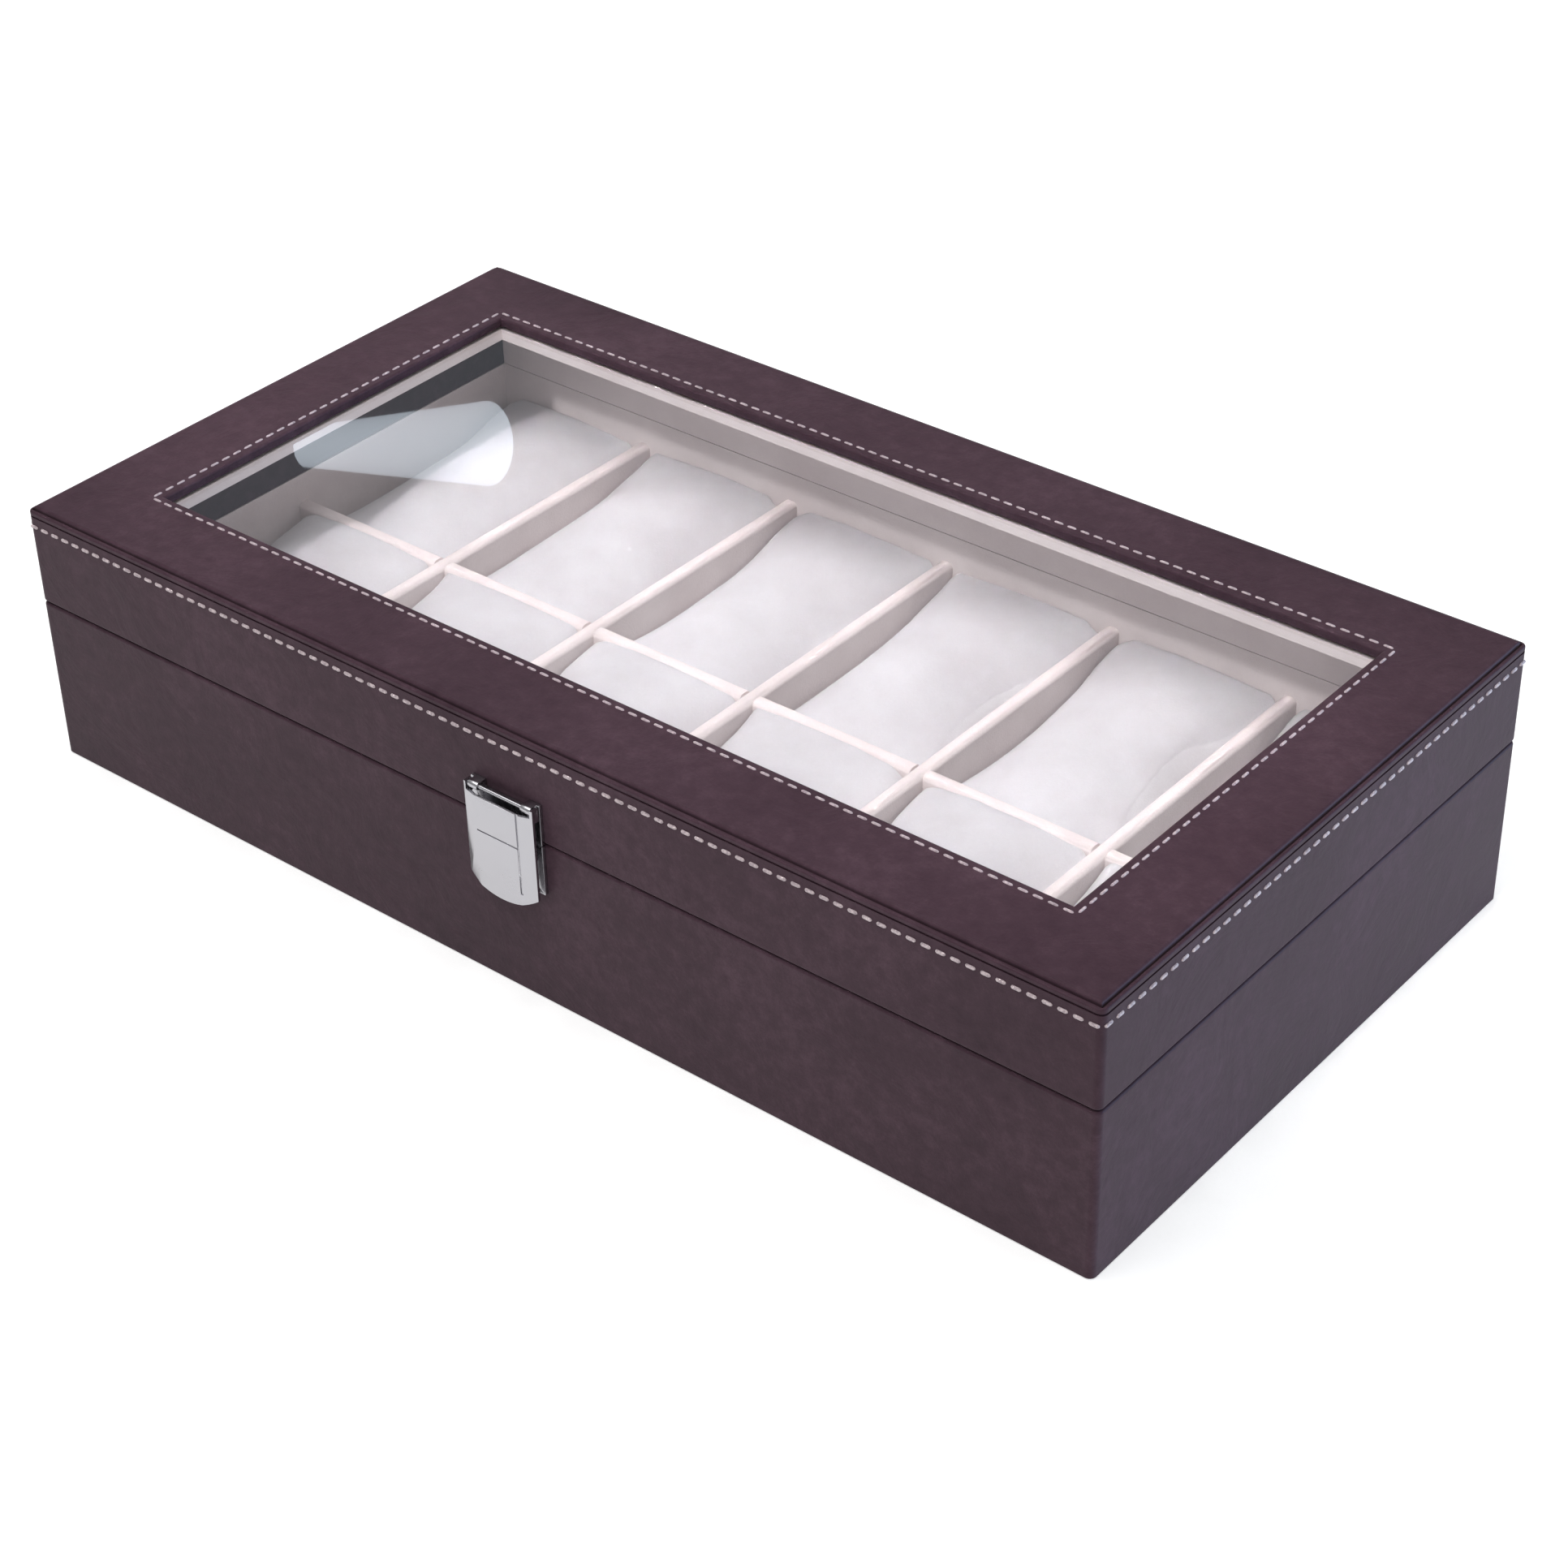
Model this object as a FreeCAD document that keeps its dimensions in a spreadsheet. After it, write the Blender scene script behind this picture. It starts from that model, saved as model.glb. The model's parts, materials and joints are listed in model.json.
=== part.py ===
import FreeCAD, Part
import math
import os
import re
import Sketcher

# Watch box: a leather-covered base box with a glazed lid, a spring-flap latch at the front and twelve
# cushions in a tray of six columns and two rows. The frame's origin is the centre of the underside,
# +X runs right along the front, +Y to the back and +Z up.

COLUMNS = 6
ROWS = ("front", "back")

# Driving dimensions in millimetres
SIZES = {
    # outside of the box
    "box_length": 360.0,
    "box_width": 189.0,
    "base_height": 51.0,
    "parting_gap": 0.3,
    "lid_height": 29.2,
    # coverings and boards
    "leather_thick": 1.0,
    "leather_lift": 0.4,
    "corner_radius": 2.0,
    "rim_radius": 0.9,
    "crest_radius": 0.5,
    "seam_drop": 1.3,
    "seam_wide": 0.6,
    "seam_deep": 0.45,
    "board_thick": 4.0,
    "bottom_thick": 3.0,
    "felt_thick": 1.0,
    "lining_thick": 1.2,
    "floor_thick": 1.2,
    # tray
    "divider_thick": 4.4,
    "divider_tall": 36.8,
    "divider_round": 1.6,
    # lid top
    "top_board_thick": 4.0,
    "crest_width": 1.0,
    "groove_width": 0.5,
    "panel_thick": 2.0,
    "panel_radius": 0.8,
    "window_inset": 26.9,
    "turn_thick": 0.8,
    "pane_lip": 0.6,
    "pane_thick": 1.2,
    "pane_overlap": 5.0,
    "pane_play": 0.5,
    "bezel_thick": 1.2,
    # cushions
    "cushion_gap": 0.6,
    "cushion_seat": 0.3,
    "front_end_corner": 26.0,
    "front_end_crown": 31.5,
    "front_half_corner": 25.0,
    "front_half_crown": 36.0,
    "middle_corner": 26.0,
    "middle_crown": 38.0,
    "back_half_corner": 29.5,
    "back_half_crown": 37.5,
    "back_end_corner": 35.0,
    "back_end_crown": 35.7,
    "cushion_draw": 2.6,
    "cushion_foot": 5.0,
    "cushion_bulge": 0.8,
    # hinges at the back
    "hinge_inset": 70.0,
    "leaf_length": 30.0,
    "leaf_depth": 4.0,
    "leaf_thick": 0.8,
    "leaf_play": 0.2,
    "knuckle_radius": 2.2,
    "knuckle_stand": 0.3,
    "knuckle_gap": 0.15,
    "pin_radius": 1.0,
    "pin_play": 0.05,
    "screw_offset": 9.0,
    "screw_radius": 0.8,
    "screw_head_radius": 1.5,
    "screw_head_tall": 0.5,
    "screw_length": 9.0,
    # latch at the front
    "flap_width": 23.4,
    "flap_tall": 31.5,
    "flap_sag": 3.8,
    "flap_stand": 5.0,
    "flap_bevel_width": 4.6,
    "flap_bevel_drop": 1.1,
    "flap_wall": 0.8,
    "flap_clear": 0.4,
    "flap_lug_tall": 3.0,
    "fold_groove_width": 0.8,
    "fold_groove_depth": 0.4,
    "fold_groove_stop": 4.5,
    "flap_line_width": 0.5,
    "flap_line_depth": 0.35,
    "flap_line_drop": 13.0,
    "flap_top_reach": 0.9,
    "flap_notch": 2.3,
    "plate_notch": 2.2,
    "plate_thick": 1.2,
    "plate_rise": 12.2,
    "plate_fall": 15.0,
    "axle_stand": 1.5,
    "axle_radius": 0.55,
    "axle_play": 0.05,
    "ear_radius": 1.1,
    "ear_thick": 3.2,
    "ear_gap": 0.3,
    "catch_width": 8.0,
    "catch_tall": 3.0,
    "catch_stand": 1.3,
    "catch_drop": 5.0,
    "tooth_tall": 2.0,
    "tooth_gap": 0.3,
    "tooth_step": 1.0,
    "rivet_offset": 7.0,
    "rivet_radius": 0.7,
    "rivet_head_radius": 1.4,
    "rivet_head_tall": 0.5,
    "rivet_length": 4.0,
}

# Places and lengths that follow from the driving dimensions
PLACES = {
    "half_length": "box_length / 2",
    "half_width": "box_width / 2",
    "core_half_length": "half_length - leather_thick",
    "core_half_width": "half_width - leather_thick",
    "tray_half_length": "core_half_length - board_thick",
    "tray_half_width": "core_half_width - board_thick",
    "clear_half_length": "tray_half_length - lining_thick",
    "clear_half_width": "tray_half_width - lining_thick",
    "wall_high": "base_height - leather_thick",
    "bottom_high": "felt_thick + bottom_thick",
    "floor_high": "bottom_high + floor_thick",
    "column_pitch": "2 * clear_half_length / %d" % COLUMNS,
    "lid_low": "base_height + parting_gap",
    "lid_wall_low": "lid_low + leather_thick",
    "crest_high": "lid_low + lid_height",
    "top_board_high": "crest_high - leather_thick",
    "top_board_low": "top_board_high - top_board_thick",
    "panel_inset": "crest_width + groove_width",
    "window_half_length": "half_length - window_inset",
    "window_half_width": "half_width - window_inset",
    "pane_high": "top_board_high - pane_lip",
    "pane_low": "pane_high - pane_thick",
    "bezel_low": "top_board_low - bezel_thick",
    "cushion_low": "floor_high + cushion_seat",
    "cushion_width": "column_pitch - divider_thick - 2 * cushion_gap",
    "cushion_length": "clear_half_width - divider_thick / 2 - 2 * cushion_gap",
    "row_centre": "(clear_half_width + divider_thick / 2) / 2",
    "hinge_y": "half_width + knuckle_radius + knuckle_stand",
    "hinge_z": "(wall_high + leaf_thick + lid_wall_low - leaf_thick) / 2",
    "leaf_y": "core_half_width - leaf_depth",
    "knuckle_length": "leaf_length / 3",
    "plate_front": "half_width + plate_thick",
    "axle_y": "-(plate_front + axle_stand)",
    "plate_high": "lid_low + plate_rise",
    "axle_z": "plate_high - ear_radius",
    "ear_outer": "flap_width / 2 - flap_wall - ear_gap",
    "flap_high": "axle_z + flap_top_reach",
    "flap_low": "flap_high - flap_tall",
    "flap_front": "-(half_width + flap_stand)",
    "catch_high": "base_height - catch_drop",
    "catch_low": "catch_high - catch_tall",
}

doc = FreeCAD.newDocument("WatchBox")
sizes = doc.addObject("Spreadsheet::Sheet", "Sizes")
places = doc.addObject("Spreadsheet::Sheet", "Places")
finished = []


def qualified(text):
    """Write each named value in an expression with the sheet that holds it."""
    def swap(match):
        word = match.group(0)
        if word in SIZES:
            return "Sizes." + word
        if word in PLACES:
            return "Places." + word
        return word
    return re.sub(r"[a-z]\w*", swap, text)


def fill_sheets():
    for row, (alias, value) in enumerate(SIZES.items(), 1):
        sizes.set("A%d" % row, alias.replace("_", " "))
        sizes.set("B%d" % row, str(value))
        sizes.setAlias("B%d" % row, alias)
    doc.recompute()
    for row, (alias, formula) in enumerate(PLACES.items(), 1):
        places.set("A%d" % row, alias.replace("_", " "))
        places.setAlias("B%d" % row, alias)
        own = re.sub(r"Places\.", "", qualified(formula))
        places.set("B%d" % row, "=" + own)
    doc.recompute()


def number(name):
    """Read a named value from its sheet."""
    sheet = sizes if name in SIZES else places
    return float(sheet.get(name))


def bind(thing, prop, text):
    thing.setExpression(prop, qualified(text))


def place(thing, x="0", y="0", z="0"):
    bind(thing, "Placement.Base.x", x)
    bind(thing, "Placement.Base.y", y)
    bind(thing, "Placement.Base.z", z)


def finish(thing, name):
    """Name a sub-part and put it on the list of written pieces."""
    thing.Label = name
    finished.append(thing)
    return thing


# Primitives bound to the sheets

def block(name, low, size):
    """A box from its low corner and its three lengths."""
    box = doc.addObject("Part::Box", name)
    bind(box, "Length", size[0])
    bind(box, "Width", size[1])
    bind(box, "Height", size[2])
    place(box, *low)
    return box


def centred_block(name, half_x, half_y, low_z, high_z):
    """A box centred on the Z axis."""
    low = ("-(%s)" % half_x, "-(%s)" % half_y, low_z)
    size = ("2 * (%s)" % half_x, "2 * (%s)" % half_y, "%s - (%s)" % (high_z, low_z))
    return block(name, low, size)


TURNS = {
    "X": FreeCAD.Rotation(FreeCAD.Vector(0, 1, 0), 90),
    "Y": FreeCAD.Rotation(FreeCAD.Vector(1, 0, 0), -90),
    "Z": FreeCAD.Rotation(),
}


def rod(name, axis, start, radius, length):
    """A cylinder from its start point along +X, +Y or +Z."""
    bar = doc.addObject("Part::Cylinder", name)
    bar.Placement = FreeCAD.Placement(FreeCAD.Vector(), TURNS[axis])
    bind(bar, "Radius", radius)
    bind(bar, "Height", length)
    place(bar, *start)
    return bar


def fused(name, things):
    joined = doc.addObject("Part::MultiFuse", name)
    joined.Shapes = things
    return joined


def cut(name, base, tools):
    tool = tools[0] if len(tools) == 1 else fused(name + "_tools", tools)
    trimmed = doc.addObject("Part::Cut", name)
    trimmed.Base = base
    trimmed.Tool = tool
    return trimmed


def grouped(name, things):
    group = doc.addObject("Part::Compound", name)
    group.Links = things
    return finish(group, name)


# Bodies with sketches

def new_body(name):
    return doc.addObject("PartDesign::Body", name)


def sketch_on(body, name, role, offset="0"):
    """A sketch on one of the body's own origin planes, moved along its normal."""
    plane = [item for item in body.Origin.OriginFeatures if item.Role == role][0]
    sketch = body.newObject("Sketcher::SketchObject", name)
    sketch.AttachmentSupport = [(plane, "")]
    sketch.MapMode = "FlatFace"
    bind(sketch, "AttachmentOffset.Base.z", offset)
    return sketch


def polygon(sketch, corners):
    """A closed outline whose corners lie at the given expressions, measured from the origin."""
    count = len(corners)
    first = sketch.GeometryCount
    guesses = [(20.0 * math.cos(2 * math.pi * k / count), 20.0 * math.sin(2 * math.pi * k / count))
               for k in range(count)]
    start = [FreeCAD.Vector(x, y, 0) for x, y in guesses]
    for k in range(count):
        sketch.addGeometry(Part.LineSegment(start[k], start[(k + 1) % count]), False)
    for k in range(count):
        sketch.addConstraint(Sketcher.Constraint("Coincident", first + k, 2, first + (k + 1) % count, 1))
    for k, (x, y) in enumerate(corners):
        across = sketch.addConstraint(Sketcher.Constraint("DistanceX", -1, 1, first + k, 1, guesses[k][0]))
        along = sketch.addConstraint(Sketcher.Constraint("DistanceY", -1, 1, first + k, 1, guesses[k][1]))
        bind(sketch, "Constraints[%d]" % across, x)
        bind(sketch, "Constraints[%d]" % along, y)


def centred_rectangle(sketch, half_x, half_y):
    polygon(sketch, [("-(%s)" % half_x, "-(%s)" % half_y), (half_x, "-(%s)" % half_y),
                     (half_x, half_y), ("-(%s)" % half_x, half_y)])


def pad(body, sketch, length):
    feature = body.newObject("PartDesign::Pad", sketch.Name + "_pad")
    feature.Profile = sketch
    bind(feature, "Length", length)
    doc.recompute()
    return feature


def pocket(body, sketch, depth, backwards=False):
    """A pocket that must take material away."""
    before = body.Shape.Volume
    feature = body.newObject("PartDesign::Pocket", sketch.Name + "_pocket")
    feature.Profile = sketch
    feature.Reversed = backwards
    bind(feature, "Length", depth)
    doc.recompute()
    if body.Shape.Volume >= before - 1e-6:
        raise RuntimeError(sketch.Name + " takes nothing away")
    return feature


def edges_where(shape, test):
    """Names of the straight edges whose two ends pass the test."""
    names = []
    for index, edge in enumerate(shape.Edges, 1):
        if len(edge.Vertexes) == 2 and test(edge.Vertexes[0].Point, edge.Vertexes[1].Point):
            names.append("Edge%d" % index)
    return names


def rounded(body, radius, test):
    base = body.Tip
    feature = body.newObject("PartDesign::Fillet", body.Name + "_fillet")
    feature.Base = (base, edges_where(base.Shape, test))
    bind(feature, "Radius", radius)
    doc.recompute()
    return feature


def near(a, b):
    return abs(a - b) < 0.01


def at_corner(p, q):
    """A vertical edge on an outer corner of the box."""
    upright = near(p.x, q.x) and near(p.y, q.y)
    return upright and near(abs(p.x), number("half_length")) and near(abs(p.y), number("half_width"))


def on_outline(high):
    """A test for level edges at a height that run round the outside of the box."""
    def test(p, q):
        level = near(p.z, high) and near(q.z, high)
        beside = near(abs(p.x), number("half_length")) and near(abs(q.x), number("half_length"))
        along = near(abs(p.y), number("half_width")) and near(abs(q.y), number("half_width"))
        return level and (beside or along)
    return test


# Coverings

def base_leather():
    body = new_body("base_leather_band")
    outside = sketch_on(body, "base_outside", "XY_Plane", "leather_lift")
    centred_rectangle(outside, "half_length", "half_width")
    pad(body, outside, "base_height - leather_lift")
    hollow = sketch_on(body, "base_hollow", "XY_Plane", "leather_lift")
    centred_rectangle(hollow, "core_half_length", "core_half_width")
    pocket(body, hollow, "wall_high - leather_lift", True)
    mouth = sketch_on(body, "base_mouth", "XY_Plane", "wall_high")
    centred_rectangle(mouth, "tray_half_length", "tray_half_width")
    pocket(body, mouth, "leather_thick", True)
    rounded(body, "corner_radius", at_corner)
    rounded(body, "rim_radius", on_outline(number("base_height")))
    holes = leaf_seats("base", "wall_high") + rivet_holes("base", base_rivet_z())
    finish(cut("base_leather_wrap", body, holes), "base_leather_wrap")


def lid_seam():
    """The ring that presses a seam into the lid's leather, just under its crest."""
    high = "crest_high - seam_drop"
    low = "crest_high - seam_drop - seam_wide"
    body = new_body("lid_seam_core")
    core = sketch_on(body, "seam_core", "XY_Plane", low)
    centred_rectangle(core, "half_length - seam_deep", "half_width - seam_deep")
    pad(body, core, "seam_wide")
    rounded(body, "corner_radius - seam_deep", lambda p, q: near(p.x, q.x) and near(p.y, q.y))
    ring = centred_block("lid_seam_ring", "half_length + 1", "half_width + 1", low, high)
    return cut("lid_seam", ring, [body])


def lid_leather():
    body = new_body("lid_leather_band")
    outside = sketch_on(body, "lid_outside", "XY_Plane", "lid_low")
    centred_rectangle(outside, "half_length", "half_width")
    pad(body, outside, "lid_height")
    hollow = sketch_on(body, "lid_hollow", "XY_Plane", "lid_wall_low")
    centred_rectangle(hollow, "core_half_length", "core_half_width")
    pocket(body, hollow, "top_board_high - lid_wall_low", True)
    mouth = sketch_on(body, "lid_mouth", "XY_Plane", "lid_low")
    centred_rectangle(mouth, "tray_half_length", "tray_half_width")
    pocket(body, mouth, "leather_thick", True)
    crest = sketch_on(body, "lid_crest", "XY_Plane", "top_board_high")
    centred_rectangle(crest, "half_length - crest_width", "half_width - crest_width")
    pocket(body, crest, "leather_thick", True)
    rounded(body, "corner_radius", at_corner)
    rounded(body, "rim_radius", on_outline(number("lid_low")))
    rounded(body, "crest_radius", on_outline(number("crest_high")))
    holes = leaf_seats("lid", "lid_low") + rivet_holes("lid", lid_rivet_z())
    finish(cut("lid_leather_wrap", body, holes + [lid_seam()]), "lid_leather_wrap")


def top_leather():
    body = new_body("lid_top_leather")
    panel = sketch_on(body, "panel_outline", "XY_Plane", "top_board_high")
    centred_rectangle(panel, "half_length - panel_inset", "half_width - panel_inset")
    centred_rectangle(panel, "window_half_length", "window_half_width")
    pad(body, panel, "panel_thick")
    turned = sketch_on(body, "panel_turned_edge", "XY_Plane", "pane_high")
    centred_rectangle(turned, "window_half_length + turn_thick", "window_half_width + turn_thick")
    centred_rectangle(turned, "window_half_length", "window_half_width")
    pad(body, turned, "pane_lip")
    high = number("top_board_high") + number("panel_thick")
    rounded(body, "panel_radius", lambda p, q: near(p.z, high) and near(q.z, high))
    finish(body, "lid_top_leather")


# Boards, linings and glass

def walls(part, low, high):
    """Four boards behind the leather: front and back full length, the sides between them."""
    tall = "%s - (%s)" % (high, low)
    full = "2 * core_half_length"
    between = "2 * tray_half_width"
    front = block(part + "_front_board", ("-core_half_length", "-core_half_width", low),
                  (full, "board_thick", tall))
    back = block(part + "_back_board", ("-core_half_length", "tray_half_width", low),
                 (full, "board_thick", tall))
    left = block(part + "_left_wall", ("-core_half_length", "-tray_half_width", low),
                 ("board_thick", between, tall))
    right = block(part + "_right_wall", ("tray_half_length", "-tray_half_width", low),
                  ("board_thick", between, tall))
    height = base_rivet_z() if part == "base" else lid_rivet_z()
    finish(cut(part + "_front_wall", front, rivet_holes(part + "_wall", height)), part + "_front_wall")
    finish(cut(part + "_back_wall", back, screw_holes(part)), part + "_back_wall")
    finish(left, part + "_left_wall")
    finish(right, part + "_right_wall")


def linings(part, low, high):
    """Four lining cards inside the boards: front and back full length, the sides between them."""
    tall = "%s - (%s)" % (high, low)
    full = "2 * tray_half_length"
    between = "2 * clear_half_width"
    finish(block(part + "_front_lining", ("-tray_half_length", "-tray_half_width", low),
                 (full, "lining_thick", tall)), part + "_front_lining")
    finish(block(part + "_back_lining", ("-tray_half_length", "clear_half_width", low),
                 (full, "lining_thick", tall)), part + "_back_lining")
    finish(block(part + "_left_lining", ("-tray_half_length", "-clear_half_width", low),
                 ("lining_thick", between, tall)), part + "_left_lining")
    finish(block(part + "_right_lining", ("clear_half_length", "-clear_half_width", low),
                 ("lining_thick", between, tall)), part + "_right_lining")


def base_boards():
    finish(centred_block("base_felt", "core_half_length", "core_half_width", "0", "felt_thick"),
           "base_felt")
    finish(centred_block("base_bottom_board", "tray_half_length", "tray_half_width",
                         "felt_thick", "bottom_high"), "base_bottom_board")
    finish(centred_block("floor_lining", "tray_half_length", "tray_half_width",
                         "bottom_high", "floor_high"), "floor_lining")
    walls("base", "felt_thick", "wall_high")
    linings("base", "floor_high", "base_height")


def lid_boards():
    walls("lid", "lid_wall_low", "top_board_low")
    linings("lid", "lid_low", "bezel_low")
    board = centred_block("top_board_blank", "core_half_length", "core_half_width",
                          "top_board_low", "top_board_high")
    window = centred_block("top_board_window", "window_half_length + turn_thick",
                           "window_half_width + turn_thick", "top_board_low", "top_board_high")
    rebate = centred_block("top_board_rebate", "window_half_length + pane_overlap",
                           "window_half_width + pane_overlap", "top_board_low", "pane_high")
    finish(cut("lid_top_board", board, [window, rebate]), "lid_top_board")
    finish(centred_block("window_glass", "window_half_length + pane_overlap - pane_play",
                         "window_half_width + pane_overlap - pane_play", "pane_low", "pane_high"),
           "window_glass")


def window_bezel():
    """The covered frame under the glass, with a step that holds the pane in the board's rebate."""
    ring = centred_block("bezel_ring", "tray_half_length", "tray_half_width",
                         "bezel_low", "top_board_low")
    step = centred_block("bezel_step", "window_half_length + pane_overlap - pane_play",
                         "window_half_width + pane_overlap - pane_play", "top_board_low", "pane_low")
    opening = centred_block("bezel_opening", "window_half_length", "window_half_width",
                            "bezel_low", "pane_low")
    finish(cut("window_bezel", fused("bezel_blank", [ring, step]), [opening]), "window_bezel")


# Tray

def divider_x(index):
    """Middle of a cross divider, counted from the left wall."""
    return "(%d * column_pitch - clear_half_length)" % index


def long_divider():
    """One strip along the box, with slots from above where the cross dividers drop in."""
    half = "(floor_high + divider_tall / 2)"
    top = "(floor_high + divider_tall)"
    corners = [("-clear_half_length", "floor_high"), ("clear_half_length", "floor_high"),
               ("clear_half_length", top)]
    for index in range(COLUMNS - 1, 0, -1):
        left = divider_x(index) + " - divider_thick / 2"
        right = divider_x(index) + " + divider_thick / 2"
        corners += [(right, top), (right, half), (left, half), (left, top)]
    corners.append(("-clear_half_length", top))
    body = new_body("long_divider")
    outline = sketch_on(body, "long_divider_outline", "XZ_Plane", "-divider_thick / 2")
    polygon(outline, corners)
    pad(body, outline, "divider_thick")
    high = number("floor_high") + number("divider_tall")
    rounded(body, "divider_round",
            lambda p, q: near(p.z, high) and near(q.z, high) and near(p.y, q.y))
    finish(body, "long_divider")


def cross_divider(index):
    """A strip across the box, slotted from below over the long divider."""
    name = "cross_divider_%d" % index
    half = "(floor_high + divider_tall / 2)"
    top = "(floor_high + divider_tall)"
    body = new_body(name)
    outline = sketch_on(body, name + "_outline", "YZ_Plane", divider_x(index) + " - divider_thick / 2")
    polygon(outline, [("-clear_half_width", "floor_high"), ("-divider_thick / 2", "floor_high"),
                      ("-divider_thick / 2", half), ("divider_thick / 2", half),
                      ("divider_thick / 2", "floor_high"), ("clear_half_width", "floor_high"),
                      ("clear_half_width", top), ("-clear_half_width", top)])
    pad(body, outline, "divider_thick")
    high = number("floor_high") + number("divider_tall")
    rounded(body, "divider_round",
            lambda p, q: near(p.z, high) and near(q.z, high) and near(p.x, q.x))
    finish(body, name)


# Cushions

def cushion_section(y, width, corner, crown, bulge, foot):
    """One closed cross-section: flat foot, bulging sides and a crowned top."""
    half = width / 2
    low_left = FreeCAD.Vector(-half + foot, y, 0)
    low_right = FreeCAD.Vector(half - foot, y, 0)
    side_right = FreeCAD.Vector(half - bulge, y, corner)
    side_left = FreeCAD.Vector(-half + bulge, y, corner)
    belly_right = FreeCAD.Vector(half, y, corner * 0.55)
    belly_left = FreeCAD.Vector(-half, y, corner * 0.55)
    top = FreeCAD.Vector(0, y, crown)
    edges = [
        Part.makeLine(low_left, low_right),
        Part.Arc(low_right, belly_right, side_right).toShape(),
        Part.Arc(side_right, top, side_left).toShape(),
        Part.Arc(side_left, belly_left, low_left).toShape(),
    ]
    return Part.Wire(edges)


def cushion_shape():
    """A padded block whose sides are drawn in and whose back end stands higher than its front end."""
    length = number("cushion_length")
    wires = []
    for step, part in ((-1.0, "front_end"), (-0.5, "front_half"), (0.0, "middle"),
                       (0.5, "back_half"), (1.0, "back_end")):
        drawn = number("cushion_draw") * (1.0 - step * step)
        wires.append(cushion_section(
            step * length / 2, number("cushion_width") - 2 * drawn,
            number(part + "_corner"), number(part + "_crown"),
            number("cushion_bulge"), number("cushion_foot")))
    return Part.makeLoft(wires, True)


def cushions():
    shape = cushion_shape()
    for row, side in zip(ROWS, (-1, 1)):
        for column in range(COLUMNS):
            name = "cushion_%s_%d" % (row, column + 1)
            cushion = doc.addObject("Part::Feature", name)
            cushion.Shape = shape.copy()
            middle = (column + 0.5) * number("column_pitch") - number("clear_half_length")
            cushion.Placement = FreeCAD.Placement(
                FreeCAD.Vector(middle, side * number("row_centre"), number("cushion_low")),
                FreeCAD.Rotation())
            finish(cushion, name)


# Hinges

HINGES = {"left": "-(half_length - hinge_inset)", "right": "(half_length - hinge_inset)"}


def leaf_seats(part, low):
    """Notches in the leather where the two hinge leaves lie on the board."""
    seats = []
    for side, x in HINGES.items():
        start = ("%s - leaf_length / 2 - leaf_play" % x, "leaf_y - leaf_play", low)
        size = ("leaf_length + 2 * leaf_play", "leaf_depth + leather_thick + leaf_play + 1",
                "leather_thick")
        seats.append(block("%s_%s_leaf_seat" % (part, side), start, size))
    return seats


def screw_spots(side):
    """Middles of the two screws of a leaf, as x and y expressions."""
    x = HINGES[side]
    y = "(leaf_y + leaf_depth / 2)"
    return [("%s - screw_offset" % x, y), ("%s + screw_offset" % x, y)]


def screw_holes(part):
    """Holes for the shanks, down into the base wall or up into the lid wall."""
    holes = []
    for side in HINGES:
        for index, (x, y) in enumerate(screw_spots(side)):
            low = "wall_high + leaf_thick - screw_length" if part == "base" else "lid_low"
            tall = "screw_length" if part == "base" else "screw_length + leather_thick - leaf_thick"
            tag = "%s_wall_%s_screw_hole_%d" % (part, side, index)
            holes.append(rod(tag, "Z", (x, y, low), "screw_radius", tall))
    return holes


def screw_set(part):
    """Four flat-headed screws whose heads lie sunk in the leaves."""
    screws = []
    for side in HINGES:
        for index, (x, y) in enumerate(screw_spots(side)):
            tag = "%s_%s_screw_%d" % (part, side, index)
            if part == "base":
                head = (x, y, "wall_high + leaf_thick - screw_head_tall")
                shank = (x, y, "wall_high + leaf_thick - screw_length")
            else:
                head = (x, y, "lid_wall_low - leaf_thick")
                shank = (x, y, "lid_wall_low - leaf_thick")
            screws.append(fused(tag, [
                rod(tag + "_head", "Z", head, "screw_head_radius", "screw_head_tall"),
                rod(tag + "_shank", "Z", shank, "screw_radius", "screw_length")]))
    grouped("hinge_%s_screws" % part, screws)


def hinge_leaf(part, side):
    """A leaf on the board's edge, with its knuckles round the pin."""
    x = HINGES[side]
    tag = "hinge_%s_leaf_%s" % (part, side)
    low = "wall_high" if part == "base" else "lid_wall_low - leaf_thick"
    pieces = [block(tag + "_plate", ("%s - leaf_length / 2" % x, "leaf_y", low),
                    ("leaf_length", "leaf_depth + leather_thick", "leaf_thick"))]
    if part == "base":
        spans = [("%s - leaf_length / 2" % x, "knuckle_length - knuckle_gap"),
                 ("%s + leaf_length / 2 - knuckle_length + knuckle_gap" % x, "knuckle_length - knuckle_gap")]
        bore = "pin_radius"
    else:
        spans = [("%s - knuckle_length / 2" % x, "knuckle_length")]
        bore = "pin_radius + pin_play"
    for index, (start, length) in enumerate(spans):
        pieces.append(rod("%s_knuckle_%d" % (tag, index), "X", (start, "hinge_y", "hinge_z"),
                          "knuckle_radius", length))
        pieces.append(block("%s_tab_%d" % (tag, index), (start, "half_width - 1", low),
                            (length, "hinge_y - half_width + 1", "leaf_thick")))
    bores = [rod(tag + "_bore", "X", ("%s - leaf_length" % x, "hinge_y", "hinge_z"), bore,
                 "2 * leaf_length")]
    for index, (sx, sy) in enumerate(screw_spots(side)):
        sunk = "wall_high + leaf_thick - screw_head_tall" if part == "base" else low
        bores.append(rod("%s_eye_%d" % (tag, index), "Z", (sx, sy, low), "screw_radius", "leaf_thick"))
        bores.append(rod("%s_sink_%d" % (tag, index), "Z", (sx, sy, sunk), "screw_head_radius",
                         "screw_head_tall"))
    finish(cut(tag, fused(tag + "_blank", pieces), bores), tag)


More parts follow.
